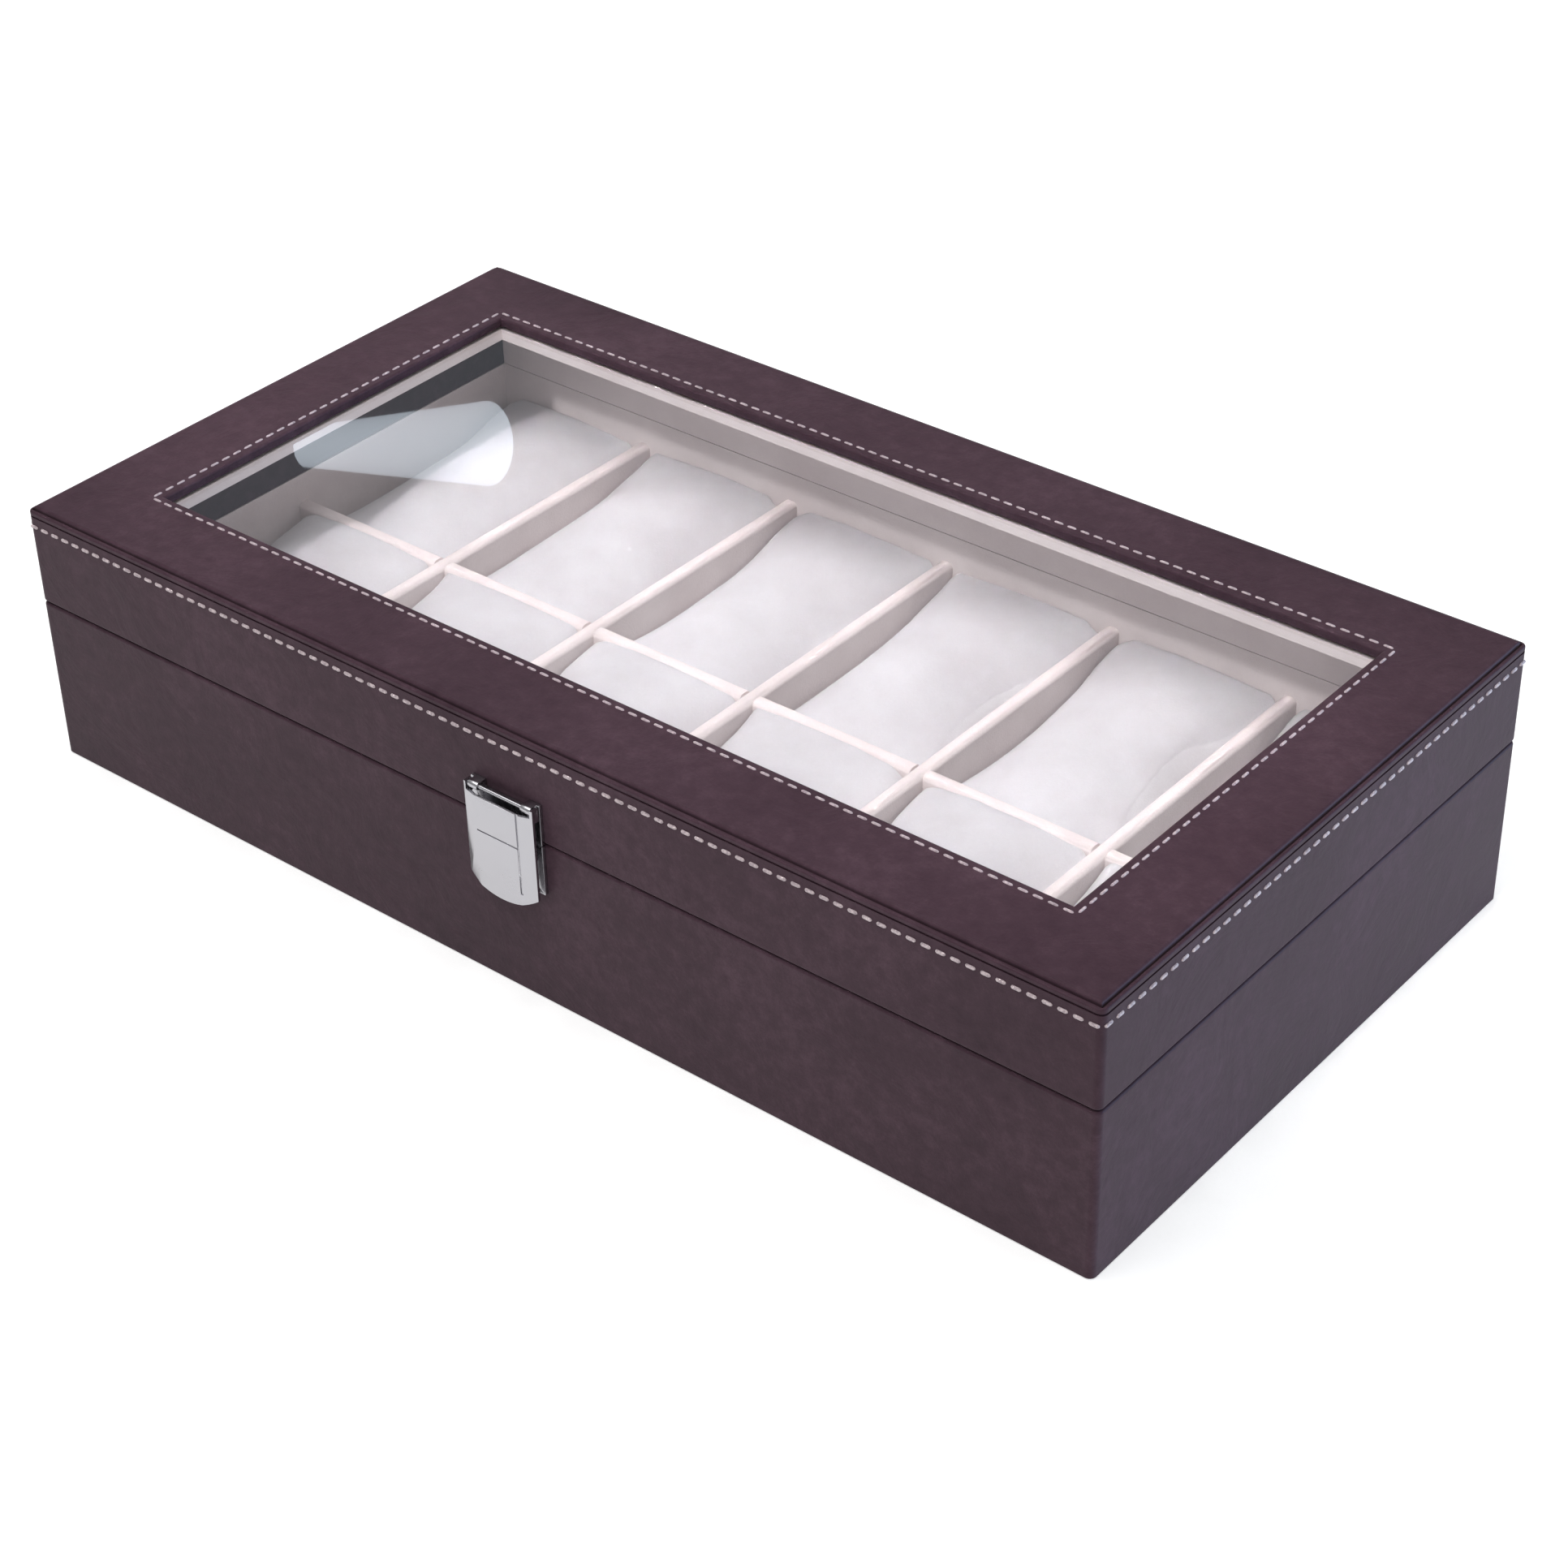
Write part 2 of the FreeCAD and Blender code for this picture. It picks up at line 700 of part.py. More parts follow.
def hinges():
    for side, x in HINGES.items():
        hinge_leaf("base", side)
        hinge_leaf("lid", side)
        finish(rod("hinge_pin_" + side, "X", ("%s - leaf_length / 2" % x, "hinge_y", "hinge_z"),
                   "pin_radius", "leaf_length"), "hinge_pin_" + side)
    screw_set("base")
    screw_set("lid")


# Latch

def base_rivet_z():
    return "base_height - plate_fall / 2 - 4"


def lid_rivet_z():
    return "lid_low + plate_rise / 2 - 2"


def rivet_holes(name, height):
    """Two holes from the front for the rivet shanks of a latch plate."""
    holes = []
    for index, x in enumerate(("-rivet_offset", "rivet_offset")):
        start = (x, "-(plate_front)", height)
        holes.append(rod("%s_rivet_hole_%d" % (name, index), "Y", start, "rivet_radius",
                         "plate_thick + rivet_length"))
    return holes


def rivets(part, height):
    pair = []
    for index, x in enumerate(("-rivet_offset", "rivet_offset")):
        tag = "%s_rivet_%d" % (part, index)
        pair.append(fused(tag, [
            rod(tag + "_head", "Y", (x, "-(plate_front + rivet_head_tall)", height),
                "rivet_head_radius", "rivet_head_tall"),
            rod(tag + "_shank", "Y", (x, "-(plate_front)", height),
                "rivet_radius", "plate_thick + rivet_length")]))
    grouped("latch_%s_rivets" % part, pair)


def lid_plate():
    """The upper latch plate with two ears that carry the axle."""
    pieces = [block("lid_plate_sheet", ("-flap_width / 2", "-plate_front", "lid_low"),
                    ("flap_width", "plate_thick", "plate_rise"))]
    for tag, start in (("left", "-ear_outer"), ("right", "ear_outer - ear_thick")):
        pieces.append(block("ear_stem_" + tag, (start, "axle_y", "axle_z - ear_radius"),
                            ("ear_thick", "axle_stand", "2 * ear_radius")))
        pieces.append(rod("ear_round_" + tag, "X", (start, "axle_y", "axle_z"), "ear_radius", "ear_thick"))
    bore = rod("ear_bore", "X", ("-flap_width / 2", "axle_y", "axle_z"), "axle_radius", "flap_width")
    notch = block("lid_plate_notch", ("ear_thick - ear_outer", "-plate_front - 1", "plate_high - plate_notch"),
                  ("2 * (ear_outer - ear_thick)", "plate_thick + 2", "plate_notch + 1"))
    holes = rivet_holes("lid_plate", lid_rivet_z())
    finish(cut("latch_lid_plate", fused("lid_plate_blank", pieces), [bore, notch] + holes),
           "latch_lid_plate")


def base_plate():
    """The lower latch plate with the catch that the flap's tooth snaps past."""
    sheet = block("base_plate_sheet", ("-flap_width / 2", "-plate_front", "base_height - plate_fall"),
                  ("flap_width", "plate_thick", "plate_fall"))
    catch = block("base_plate_catch", ("-catch_width / 2", "-(plate_front + catch_stand)", "catch_low"),
                  ("catch_width", "catch_stand", "catch_tall"))
    holes = rivet_holes("base_plate", base_rivet_z())
    finish(cut("latch_base_plate", fused("base_plate_blank", [sheet, catch]), holes), "latch_base_plate")


def flap():
    """A sheet with a flat face between two sloping strips, a lug at each upper corner and an arched foot."""
    face = "flap_front"
    slope = "(flap_front + flap_bevel_drop)"
    inner_face = "(flap_front + flap_wall)"
    inner_slope = "(flap_front + flap_bevel_drop + flap_wall)"
    back = "-(plate_front + flap_clear)"
    edge = "flap_width / 2"
    fold = "(flap_width / 2 - flap_bevel_width)"
    inner = "(flap_width / 2 - flap_wall)"
    body = new_body("flap_sheet")
    section = sketch_on(body, "flap_section", "XY_Plane", "flap_low")
    polygon(section, [
        ("-" + edge, back), ("-" + edge, slope), ("-" + fold, face),
        (fold, face), (edge, slope), (edge, back),
        (inner, back), (inner, inner_slope), (fold, inner_face),
        ("-" + fold, inner_face), ("-" + inner, inner_slope), ("-" + inner, back)])
    pad(body, section, "flap_tall")
    line = sketch_on(body, "flap_line", "XZ_Plane", "-(%s)" % face)
    low = "(flap_high - flap_line_drop)"
    high = "(flap_high - flap_line_drop + flap_line_width)"
    polygon(line, [("-" + fold, low), (fold, low), (fold, high), ("-" + fold, high)])
    pocket(body, line, "flap_line_depth")
    groove = sketch_on(body, "fold_groove", "XZ_Plane", "-(%s)" % face)
    near_side = "%s - fold_groove_width / 2" % fold
    far_side = "%s + fold_groove_width / 2" % fold
    stop = "flap_low + fold_groove_stop"
    polygon(groove, [(near_side, stop), (far_side, stop), (far_side, "flap_high"),
                     (near_side, "flap_high")])
    pocket(body, groove, "fold_groove_depth")
    arch_radius = "((flap_width ^ 2 / 4 + flap_sag ^ 2) / (2 * flap_sag))"
    arch = rod("flap_arch", "Y", ("0", "flap_front - 1", "flap_low + %s" % arch_radius),
               arch_radius, "flap_stand + 2")
    trimmed = doc.addObject("Part::Common", "flap_trimmed")
    trimmed.Base = body
    trimmed.Tool = arch
    below_lugs = block("flap_below_lugs", ("-flap_width", inner_slope, "flap_low - 1"),
                       ("2 * flap_width", "flap_stand", "axle_z - flap_lug_tall - flap_low + 1"))
    notch = block("flap_notch_block", ("-(%s)" % inner, "flap_front - 1", "flap_high - flap_notch"),
                  ("2 * (%s)" % inner, "flap_stand + 1", "flap_notch + 1"))
    opened = cut("flap_opened", trimmed, [below_lugs, notch])
    tooth = block("flap_tooth", ("-catch_width / 2", "%s - flap_wall / 2" % inner_face,
                                 "catch_low - tooth_step - tooth_tall"),
                  ("catch_width", "-(plate_front + catch_stand + tooth_gap) - %s + flap_wall / 2"
                   % inner_face, "tooth_tall"))
    eyes = rod("flap_eyes", "X", ("-flap_width", "axle_y", "axle_z"), "axle_radius + axle_play",
               "2 * flap_width")
    finish(cut("latch_flap", fused("flap_blank", [opened, tooth]), [eyes]), "latch_flap")


def latch():
    lid_plate()
    base_plate()
    flap()
    finish(rod("latch_axle", "X", ("-flap_width / 2", "axle_y", "axle_z"), "axle_radius", "flap_width"),
           "latch_axle")
    rivets("base", base_rivet_z())
    rivets("lid", lid_rivet_z())


def write_parts():
    """Check every object, then write one file for each sub-part."""
    doc.recompute()
    for thing in doc.Objects:
        if "Invalid" in thing.State or "Error" in thing.State:
            raise RuntimeError("%s failed: %s" % (thing.Name, thing.State))
    for thing in finished:
        if thing.Shape.isNull() or not thing.Shape.isValid():
            raise RuntimeError(thing.Label + " has no valid shape")
    os.makedirs("parts", exist_ok=True)
    for thing in finished:
        thing.Shape.exportStep("parts/%s.step" % thing.Label)
        print(thing.Label, len(thing.Shape.Solids), round(thing.Shape.Volume, 1))
    print(len(finished), "sub-parts")


fill_sheets()
base_leather()
base_boards()
long_divider()
for number_from_left in range(1, COLUMNS):
    cross_divider(number_from_left)
lid_leather()
top_leather()
lid_boards()
window_bezel()
hinges()
latch()
cushions()
write_parts()
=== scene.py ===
"""A leather watch box with a glazed lid and twelve velvet cushions, in soft studio light."""

import json
import math

import bpy
from mathutils import Matrix, Vector


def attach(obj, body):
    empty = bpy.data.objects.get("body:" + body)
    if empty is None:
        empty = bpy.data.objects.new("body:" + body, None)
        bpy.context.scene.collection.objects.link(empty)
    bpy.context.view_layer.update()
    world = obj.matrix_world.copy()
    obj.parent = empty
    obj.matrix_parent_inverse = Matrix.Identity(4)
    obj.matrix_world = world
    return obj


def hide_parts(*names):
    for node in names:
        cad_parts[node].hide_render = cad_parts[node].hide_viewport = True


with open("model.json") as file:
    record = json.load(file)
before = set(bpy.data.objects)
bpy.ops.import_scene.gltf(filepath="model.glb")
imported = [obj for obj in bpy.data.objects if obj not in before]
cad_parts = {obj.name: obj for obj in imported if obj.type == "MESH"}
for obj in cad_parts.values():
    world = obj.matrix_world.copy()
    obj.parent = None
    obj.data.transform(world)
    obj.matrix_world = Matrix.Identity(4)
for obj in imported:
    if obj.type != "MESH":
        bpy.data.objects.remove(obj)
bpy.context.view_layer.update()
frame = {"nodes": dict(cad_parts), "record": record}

# All lengths are metres.
MM = 0.001

# The leather case
half_length = 180 * MM
half_width = 94.5 * MM
lid_top = 81.5 * MM
edge_row_height = 75.8 * MM
window_half_length = 153.1 * MM
window_half_width = 67.6 * MM
window_row_gap = 2.6 * MM

# The thread, with a stitch's width and height for each of the two seams
stitch_pitch = 4.24 * MM
stitch_length = 2.8 * MM
edge_stitch = (1.0 * MM, 0.5 * MM)
window_stitch = (0.75 * MM, 0.35 * MM)
corner_gap = 0.9 * MM

# The two steps of a stitch's rounded tips, for a dash 1 long before it is scaled
tip_insets = (0.14, 0.18)
tip_depths = (0.16, 0.08)

# The cushions, and how far their covers may blow up
columns = 6
slot_pitch = 57.933 * MM
first_slot_edge = -173.8 * MM
slot_half_width = 26.55 * MM
row_centre = 45.25 * MM
row_half_depth = 42.6 * MM
cushion_seat = 5.5 * MM
cushion_voxel = 4 * MM
cushion_reach = 3 * MM
cushion_swell = 1.04
cloth_frames = 20

# The latch
plating_round = 0.16 * MM

# The camera, fitted to the photograph
camera_place = (0.493387, -0.574565, 0.540082)
camera_turn = math.radians(40.021)
camera_rise = math.radians(34.872)
camera_roll = math.radians(-1.387)
camera_lens = 76.56

# The studio
floor_side = 12
card_place = (-0.449, 0.292, 0.319)
card_direction = (-1.0, -0.19, 0.27)
card_radii = (18 * MM, 9 * MM)
card_length = 100 * MM
world_strength = 0.40

# Triangles whose corners lie closer than this are joined up.
merge_distance = 0.01 * MM


# Hand tools

def put_down():
    """Leave edit mode with nothing selected."""
    if bpy.context.object and bpy.context.object.mode != "OBJECT":
        bpy.ops.object.mode_set(mode="OBJECT")
    bpy.ops.object.select_all(action="DESELECT")


def pick_up(piece, *others):
    """Select only these pieces, the first of them active."""
    put_down()
    for one in (piece, *others):
        one.select_set(True)
    bpy.context.view_layer.objects.active = piece


def open_mesh(piece, mode="VERT"):
    """Edit the piece's mesh with nothing selected in it."""
    pick_up(piece)
    bpy.ops.object.mode_set(mode="EDIT")
    bpy.ops.mesh.select_mode(type=mode)
    bpy.ops.mesh.select_all(action="DESELECT")


def select_where(piece, kind, wanted):
    """Select the faces, edges or vertices of the open mesh that wanted() accepts."""
    bpy.ops.object.mode_set(mode="OBJECT")
    for part in getattr(piece.data, kind):
        part.select = bool(wanted(part))
    bpy.ops.object.mode_set(mode="EDIT")


def close_mesh():
    """Back to object mode with the surfaces facing outwards."""
    bpy.ops.mesh.select_all(action="SELECT")
    bpy.ops.mesh.normals_make_consistent(inside=False)
    bpy.ops.object.mode_set(mode="OBJECT")


def set_in_place(piece):
    """Give the piece its place in its mesh, with the object at the origin."""
    pick_up(piece)
    bpy.ops.object.transform_apply(location=True, rotation=True, scale=True)


def apply_modifiers(piece):
    """Make every modifier part of the mesh."""
    pick_up(piece)
    for modifier in list(piece.modifiers):
        bpy.ops.object.modifier_apply(modifier=modifier.name)


def finish_piece(piece, name, material, body):
    """Name a piece and give it its material, the body that it rides on and its colour slot."""
    piece.name = name
    piece.data.name = name
    piece.data.materials.clear()
    piece.data.materials.append(material)
    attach(piece, body)
    return piece


def copy_of(node, name):
    """A copy of a solid with its loose triangles joined up."""
    piece = frame["nodes"][node].copy()
    piece.data = frame["nodes"][node].data.copy()
    piece.name = name
    bpy.context.collection.objects.link(piece)
    for key in list(piece.keys()):
        del piece[key]
    piece.parent = None
    open_mesh(piece)
    bpy.ops.mesh.select_all(action="SELECT")
    bpy.ops.mesh.remove_doubles(threshold=merge_distance)
    close_mesh()
    return piece


# Material tools

class Recipe:
    """A material's nodes, laid out from left to right as they are added."""

    def __init__(self, name):
        self.material = bpy.data.materials.new(name)
        self.material.use_nodes = True
        self.nodes = self.material.node_tree.nodes
        self.links = self.material.node_tree.links
        self.shader = self.nodes["Principled BSDF"]
        self.output = self.nodes["Material Output"]
        self.place = self.add("ShaderNodeTexCoord").outputs["Object"]

    def add(self, kind, inputs=None, **settings):
        """A new node; an input is either another node's output or a constant."""
        node = self.nodes.new(kind)
        node.location = (-180 * len(self.nodes), -120 * (len(self.nodes) % 4))
        for key, value in settings.items():
            setattr(node, key, value)
        for key, value in (inputs or {}).items():
            if isinstance(value, bpy.types.NodeSocket):
                self.links.new(value, node.inputs[key])
            else:
                node.inputs[key].default_value = value
        return node

    def noise(self, scale, detail=3.0, rough=0.5, twist=0.0, place=None):
        """Cloudy noise in the piece's own coordinates, about 0 to 1."""
        made = self.add(
            "ShaderNodeTexNoise",
            {
                "Vector": place or self.place,
                "Scale": scale,
                "Detail": detail,
                "Roughness": rough,
                "Distortion": twist,
            },
        )
        return made.outputs["Fac"]

    def stretched(self, factors):
        """The coordinates scaled by one factor along each axis."""
        made = self.add("ShaderNodeMapping", {"Vector": self.place, "Scale": factors})
        return made.outputs["Vector"]

    def spread(self, value, low, high, to_low=0.0, to_high=1.0):
        """A value's range from low to high laid onto another range."""
        made = self.add(
            "ShaderNodeMapRange",
            {
                "Value": value,
                "From Min": low,
                "From Max": high,
                "To Min": to_low,
                "To Max": to_high,
            },
        )
        return made.outputs["Result"]

    def combine(self, first, second, operation):
        """Two values put together by one step of arithmetic."""
        made = self.add("ShaderNodeMath", {0: first, 1: second}, operation=operation)
        return made.outputs["Value"]

    def shades(self, value, *stops):
        """Colours from a value, each stop a position and a colour."""
        ramp = self.add("ShaderNodeValToRGB", {"Fac": value})
        elements = ramp.color_ramp.elements
        while len(elements) < len(stops):
            elements.new(0.5)
        for element, (position, colour) in zip(elements, stops):
            element.position = position
            element.color = (*colour, 1.0)
        return ramp.outputs["Color"]

    def bump(self, height, depth, strength, under=None):
        """Fine relief on the surface, on top of another relief if one is given."""
        inputs = {"Height": height, "Distance": depth, "Strength": strength}
        if under is not None:
            inputs["Normal"] = under
        return self.add("ShaderNodeBump", inputs).outputs["Normal"]

    def surface(self, colour, rough, normal=None, **constants):
        """Finish the material; an underscore in a constant's name stands for a space."""
        for socket, value in {
            "Base Color": colour,
            "Roughness": rough,
            "Normal": normal,
        }.items():
            if value is None:
                continue
            if isinstance(value, bpy.types.NodeSocket):
                self.links.new(value, self.shader.inputs[socket])
            else:
                self.shader.inputs[socket].default_value = value
        for socket, value in constants.items():
            self.shader.inputs[socket.replace("_", " ")].default_value = value
        return self.material


def from_screen(red, green, blue):
    """A colour as it is read off a screen, 0 to 255, made linear."""
    made = []
    for part in (red, green, blue):
        part = part / 255
        made.append(part / 12.92 if part <= 0.04045 else ((part + 0.055) / 1.055) ** 2.4)
    return tuple(made)


def brown_leather():
    """Dark brown coated leather: fine pebbled grain, soft wrinkles, uneven gloss."""
    made = Recipe("brown_leather_fine_grain")
    cloud = made.noise(14, detail=4, rough=0.6)
    fine = made.noise(230, detail=5, rough=0.75)
    tone = made.combine(
        made.combine(cloud, 0.5, "MULTIPLY"), made.combine(fine, 0.5, "MULTIPLY"), "ADD"
    )
    colour = made.shades(
        tone,
        (0.33, from_screen(48, 31, 40)),
        (0.52, from_screen(61, 43, 52)),
        (0.71, from_screen(78, 58, 68)),
    )
    pebbles = made.noise(320, detail=3, rough=0.6)
    creases = made.noise(42, detail=6, rough=0.62, twist=1.6)
    grain = made.bump(pebbles, depth=0.14 * MM, strength=0.4)
    normal = made.bump(creases, depth=0.9 * MM, strength=0.30, under=grain)
    rough = made.spread(made.combine(cloud, fine, "ADD"), 0.7, 1.3, 0.40, 0.54)
    return made.surface(
        colour,
        rough,
        normal,
        Specular_IOR_Level=0.08,
        Sheen_Weight=0.04,
        Sheen_Roughness=0.5,
    )


def cream_cloth(name, low, high, sheen):
    """Short-piled cloth glued over board, with a brushed, slightly patchy surface."""
    made = Recipe(name)
    patch = made.noise(38, detail=4, rough=0.6)
    pile = made.noise(1700, detail=2, rough=0.7)
    tone = made.combine(
        made.combine(patch, 0.75, "MULTIPLY"), made.combine(pile, 0.25, "MULTIPLY"), "ADD"
    )
    colour = made.shades(tone, (0.32, low), (0.68, high))
    normal = made.bump(pile, depth=0.16 * MM, strength=0.5)
    return made.surface(
        colour,
        0.88,
        normal,
        Specular_IOR_Level=0.2,
        Sheen_Weight=sheen,
        Sheen_Roughness=0.45,
    )


def clear_glass():
    """A clear pane: light goes straight through, and its outer faces mirror by Fresnel's law."""
    made = Recipe("window_glass_clear")
    made.nodes.remove(made.shader)
    clear = made.add("ShaderNodeBsdfTransparent", {"Color": (0.985, 0.982, 0.988, 1)})
    mirror = made.add(
        "ShaderNodeBsdfGlossy", {"Color": (0.80, 0.90, 1, 1), "Roughness": 0.015}
    )
    share = made.add("ShaderNodeFresnel", {"IOR": 1.7}).outputs["Fac"]
    inner = made.add("ShaderNodeNewGeometry").outputs["Backfacing"]
    share = made.combine(share, made.combine(1.0, inner, "SUBTRACT"), "MULTIPLY")
    both = made.add(
        "ShaderNodeMixShader",
        {0: share, 1: clear.outputs["BSDF"], 2: mirror.outputs["BSDF"]},
    )
    made.links.new(both.outputs["Shader"], made.output.inputs["Surface"])
    return made.material


def bright_metal(name, colour, low, high):
    """Plated metal with faint polishing lines and cloudy wear."""
    made = Recipe(name)
    wear = made.noise(120, detail=5, rough=0.65)
    lines = made.noise(1100, detail=2, rough=0.6, place=made.stretched((1, 0.08, 0.06)))
    rough = made.spread(wear, 0.3, 0.7, low, high)
    normal = made.bump(lines, depth=0.02 * MM, strength=0.35)
    return made.surface(colour, rough, normal, Metallic=1.0)


def plain_fibre(name, low, high, scale, depth):
    """Pressed fibre, for the felt under the box and the boards inside the leather."""
    made = Recipe(name)
    flecks = made.noise(scale, detail=5, rough=0.7)
    colour = made.shades(flecks, (0.3, low), (0.7, high))
    normal = made.bump(flecks, depth, strength=0.6)
    return made.surface(colour, 0.92, normal, Specular_IOR_Level=0.15)


def cream_thread():
    """Twisted cream sewing thread."""
    made = Recipe("cream_thread_twisted")
    strands = made.noise(1500, detail=2, rough=0.5)
    colour = made.shades(
        strands, (0.3, from_screen(146, 132, 138)), (0.7, from_screen(196, 182, 184))
    )
    normal = made.bump(strands, depth=0.1 * MM, strength=0.6)
    return made.surface(colour, 0.7, normal, Specular_IOR_Level=0.3, Sheen_Weight=0.2)


leather = brown_leather()
lining = cream_cloth(
    "cream_lining_cloth",
    low=from_screen(229, 218, 216),
    high=from_screen(244, 235, 233),
    sheen=0.12,
)
velvet = cream_cloth(
    "cream_velvet_pile",
    low=from_screen(204, 201, 203),
    high=from_screen(218, 217, 219),
    sheen=0.15,
)
felt = plain_fibre(
    "dark_felt_pressed",
    low=from_screen(20, 17, 18),
    high=from_screen(40, 34, 36),
    scale=500,
    depth=0.2 * MM,
)
board = plain_fibre(
    "brown_board",
    low=from_screen(110, 84, 60),
    high=from_screen(146, 116, 86),
    scale=320,
    depth=0.1 * MM,
)
glass = clear_glass()
latch_metal = bright_metal("latch_metal_polished", (0.46, 0.455, 0.48, 1), 0.16, 0.30)
hinge_metal = bright_metal("hinge_metal_plated", (0.70, 0.68, 0.66, 1), 0.24, 0.40)
thread = cream_thread()

finishes = {
    "brown_leather": leather,
    "cream_lining": lining,
    "cream_velvet": velvet,
    "dark_felt": felt,
    "fibreboard": board,
    "clear_glass": glass,
    "polished_metal": latch_metal,
    "plated_hinge": hinge_metal,
}


def dress_nodes():
    """Give every solid the finish of its own colour slot."""
    for part in frame["record"]["subparts"]:
        for slot in frame["nodes"][part["node"]].material_slots:
            slot.material = finishes[part["material_slot"]]


# Stitching

def one_stitch(width, height):
    """A short plump dash of thread lying along X on the plane z = 0."""
    put_down()
    bpy.ops.mesh.primitive_cylinder_add(
        vertices=8, radius=0.5, depth=1, rotation=(0, math.pi / 2, 0)
    )
    stitch = bpy.context.object
    set_in_place(stitch)
    open_mesh(stitch, "FACE")
    select_where(stitch, "polygons", lambda face: abs(face.normal.x) > 0.9)
    for inset, depth in zip(tip_insets, tip_depths):
        bpy.ops.mesh.inset(thickness=inset, depth=depth)
    close_mesh()
    stitch.scale = (stitch_length / (1 + 2 * sum(tip_depths)), width, height * 2)
    set_in_place(stitch)
    return stitch


def stitch_rows(name, half_x, half_y, height, upright, stitch):
    """Four straight rows of stitches round a rectangle, on a top face or on upright sides."""
    rows = []
    for side in range(4):
        reach = (half_x, half_y)[side % 2]
        away = (half_y, half_x)[side % 2]
        run = 2 * reach - stitch_length - 2 * corner_gap
        count = round(run / stitch_pitch)
        step = run / count
        row = one_stitch(*stitch)
        if upright:
            row.rotation_euler = (math.pi / 2, 0, 0)
            set_in_place(row)
        row.location = (-reach + corner_gap + stitch_length / 2, -away, height)
        set_in_place(row)
        many = row.modifiers.new("row", "ARRAY")
        many.count = count + 1
        many.use_relative_offset = False
        many.use_constant_offset = True
        many.constant_offset_displace = (step, 0, 0)
        apply_modifiers(row)
        row.rotation_euler = (0, 0, side * math.pi / 2)
        set_in_place(row)
        rows.append(row)
    pick_up(*rows)
    bpy.ops.object.join()
    piece = finish_piece(rows[0], name, thread, "lid")
    pick_up(piece)
    bpy.ops.object.shade_smooth_by_angle(angle=math.radians(50))
    return piece


# Cushions

def slot_centre(column):
    """The middle of a compartment along the box."""
    return first_slot_edge + (column + 0.5) * slot_pitch


def puff(piece):
    """Blow the cushion up like a sewn cover full of filling, with some spare cloth in it."""
    start = [point.co.copy() for point in piece.data.vertices]
    cover = piece.modifiers.new("cover", "CLOTH")
    cloth = cover.settings
    cloth.quality = 6
    cloth.mass = 0.25
    cloth.tension_stiffness = 18
    cloth.compression_stiffness = 18
    cloth.shear_stiffness = 6
    cloth.bending_stiffness = 0.4
    cloth.use_pressure = True
    cloth.uniform_pressure_force = 4
    cloth.shrink_min = -0.06
    cloth.effector_weights.gravity = 0
    cover.collision_settings.use_collision = False
    cover.point_cache.frame_start = 1
    cover.point_cache.frame_end = cloth_frames
    for step in range(1, cloth_frames + 1):
        bpy.context.scene.frame_set(step)
    apply_modifiers(piece)
    bpy.context.scene.frame_set(1)
    for point, before in zip(piece.data.vertices, start):
        moved = point.co - before
        if moved.length > cushion_reach:
            point.co = before + moved.normalized() * cushion_reach


def settle_in_slot(piece, x, y):
    """Swell a little more, and flatten what the floor and the dividers press on."""
    for point in piece.data.vertices:
        across = (point.co.x - x) * cushion_swell
        along = (point.co.y - y) * cushion_swell
        point.co.x = x + min(max(across, -slot_half_width), slot_half_width)
        point.co.y = y + min(max(along, -row_half_depth), row_half_depth)
        point.co.z = max(point.co.z, cushion_seat)


def make_cushion(row, column, side):
    """A soft cushion in place of the solid one, on the front (-1) or the back (1) side."""
    node = f"cushion_{row}_{column + 1}"
    piece = copy_of(node, node + "_velvet")
    remesh = piece.modifiers.new("even mesh", "REMESH")
    remesh.mode = "VOXEL"
    remesh.voxel_size = cushion_voxel
    apply_modifiers(piece)
    puff(piece)
    settle_in_slot(piece, slot_centre(column), side * row_centre)
    smooth = piece.modifiers.new("round", "SUBSURF")
    smooth.levels = 1
    smooth.render_levels = 1
    apply_modifiers(piece)
    finish_piece(piece, node + "_velvet", velvet, node)
    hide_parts(node)
    pick_up(piece)
    bpy.ops.object.shade_smooth()
    return piece


# Latch

def soften(node, body):
    """A copy of a metal piece with its edges rounded as plating leaves them."""
    piece = copy_of(node, node + "_plated")
    edge = piece.modifiers.new("rounded edges", "BEVEL")
    edge.width = plating_round
    edge.segments = 2
    edge.limit_method = "ANGLE"
    edge.angle_limit = math.radians(30)
    apply_modifiers(piece)
    finish_piece(piece, node + "_plated", latch_metal, body)
    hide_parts(node)
    pick_up(piece)
    bpy.ops.object.shade_smooth_by_angle(angle=math.radians(25))
    return piece


# Studio

def make_floor():
    """White paper that glows a little, so that it stays white right up to the box."""
    put_down()
    bpy.ops.mesh.primitive_grid_add(x_subdivisions=8, y_subdivisions=8, size=floor_side)
    floor = bpy.context.object
    floor.name = "studio_floor"
    made = Recipe("studio_paper")
    speckle = made.noise(60, detail=2)
    colour = made.shades(speckle, (0.4, (0.60,) * 3), (0.6, (0.64,) * 3))
    floor.data.materials.append(
        made.surface(
            colour,
            0.9,
            Specular_IOR_Level=0.1,
            Emission_Color=(1, 1, 1, 1),
            Emission_Strength=0.52,
        )
    )


def make_light(name, place, aim, size, power, colour, spread=180):
    """A rectangular lamp that points from its place to its aim."""
    lamp = bpy.data.lights.new(name, "AREA")
    lamp.shape = "RECTANGLE"
    lamp.size, lamp.size_y = size
    lamp.energy = power
    lamp.color = colour
    lamp.spread = math.radians(spread)
    holder = bpy.data.objects.new(name, lamp)
    holder.location = place
    holder.rotation_euler = (Vector(aim) - Vector(place)).to_track_quat("-Z", "Y").to_euler()
    bpy.context.collection.objects.link(holder)


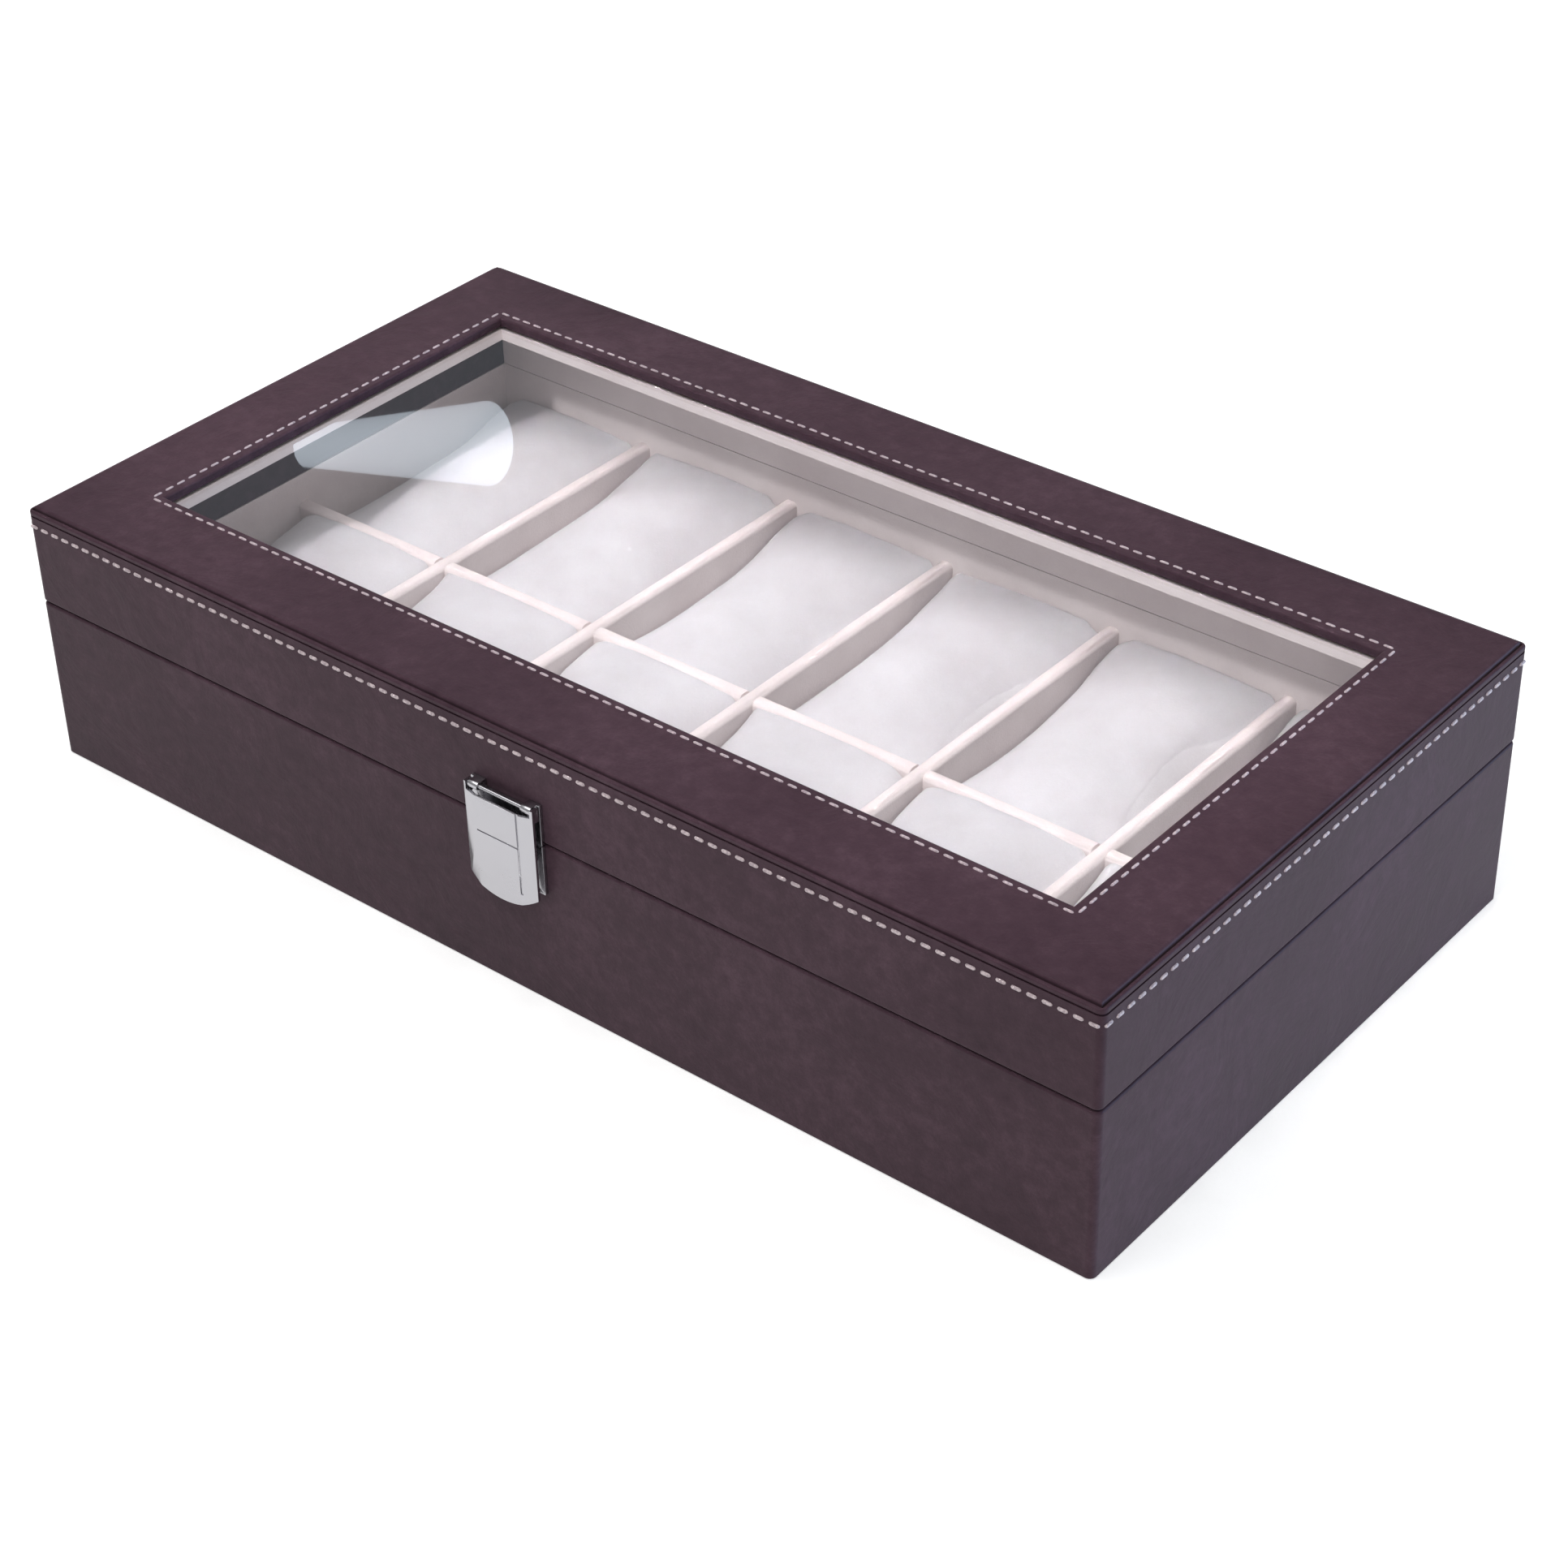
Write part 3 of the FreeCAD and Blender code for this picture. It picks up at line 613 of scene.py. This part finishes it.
def make_rolled_card():
    """A rolled card behind the box that glows with painted light instead of being lit by the
    lamps, seen only as a pale mirror image in the glass; its glow carries painted shading,
    strongest where it faces the viewer.
    """
    put_down()
    bpy.ops.mesh.primitive_cone_add(
        vertices=64,
        radius1=card_radii[0],
        radius2=card_radii[1],
        depth=card_length,
        end_fill_type="NOTHING",
        location=card_place,
    )
    card = bpy.context.object
    card.name = "rolled_glowing_card"
    card.rotation_euler = Vector(card_direction).to_track_quat("Z", "Y").to_euler()
    set_in_place(card)
    bpy.ops.object.shade_smooth()
    made = Recipe("glowing_card")
    # Painted light: the card glows instead of being lit, and its glow is painted shading,
    # strongest face-on and weaker at its grazing sides.
    painted_shade_facing = made.add("ShaderNodeLayerWeight", {"Blend": 0.4}).outputs["Facing"]
    strength = made.spread(painted_shade_facing, 0.0, 1.0, 3.6, 2.2)
    glow = made.add("ShaderNodeEmission", {"Strength": strength})
    made.links.new(glow.outputs["Emission"], made.output.inputs["Surface"])
    card.data.materials.append(made.material)


def make_studio():
    """Floor, card, three lamps and a white sky, with plain screen colours."""
    make_floor()
    make_rolled_card()
    make_light(
        "overhead_softbox",
        place=(-0.10, -0.32, 1.5),
        aim=(0, 0, 0),
        size=(2.0, 1.6),
        power=26,
        colour=(1, 0.99, 0.985),
    )
    make_light(
        "cool_side_softbox",
        place=(1.3, 0.9, 0.14),
        aim=(0.1, 0, 0.05),
        size=(1.2, 0.24),
        power=17,
        colour=(0.34, 0.64, 1),
    )
    make_light(
        "window_beam",
        place=(0, -0.62, 0.95),
        aim=(0, 0.005, 0.08),
        size=(0.40, 0.13),
        power=0.09,
        colour=(1, 1, 1),
        spread=7,
    )
    world = bpy.data.worlds.new("white_studio")
    world.use_nodes = True
    background = world.node_tree.nodes["Background"]
    background.inputs["Color"].default_value = (1, 1, 1, 1)
    background.inputs["Strength"].default_value = world_strength
    bpy.context.scene.world = world
    bpy.context.scene.view_settings.view_transform = "Standard"


def make_camera():
    """The camera stands to the right of the front and looks down at the lid."""
    level = math.cos(camera_rise)
    back = Vector(
        (math.sin(camera_turn) * level, -math.cos(camera_turn) * level, math.sin(camera_rise))
    )
    right = (-back).cross(Vector((0, 0, 1))).normalized()
    up = right.cross(-back)
    across = right * math.cos(camera_roll) + up * math.sin(camera_roll)
    upward = up * math.cos(camera_roll) - right * math.sin(camera_roll)
    lens = bpy.data.cameras.new("photograph_view")
    lens.sensor_width = 36
    lens.lens = camera_lens
    lens.clip_start = 0.01
    lens.clip_end = 50
    camera = bpy.data.objects.new("photograph_view", lens)
    bpy.context.collection.objects.link(camera)
    facing = Matrix((across, upward, back)).transposed().to_4x4()
    camera.matrix_world = Matrix.Translation(camera_place) @ facing
    bpy.context.scene.camera = camera


# The whole scene, in order

make_camera()
make_studio()
dress_nodes()
stitch_rows("lid_edge_stitching", half_length, half_width, edge_row_height, True, edge_stitch)
stitch_rows(
    "window_stitching",
    window_half_length + window_row_gap,
    window_half_width + window_row_gap,
    lid_top,
    False,
    window_stitch,
)
for column in range(columns):
    make_cushion("front", column, -1)
    make_cushion("back", column, 1)
soften("latch_flap", "latch_flap")
soften("latch_lid_plate", "lid")
soften("latch_base_plate", "base_box")
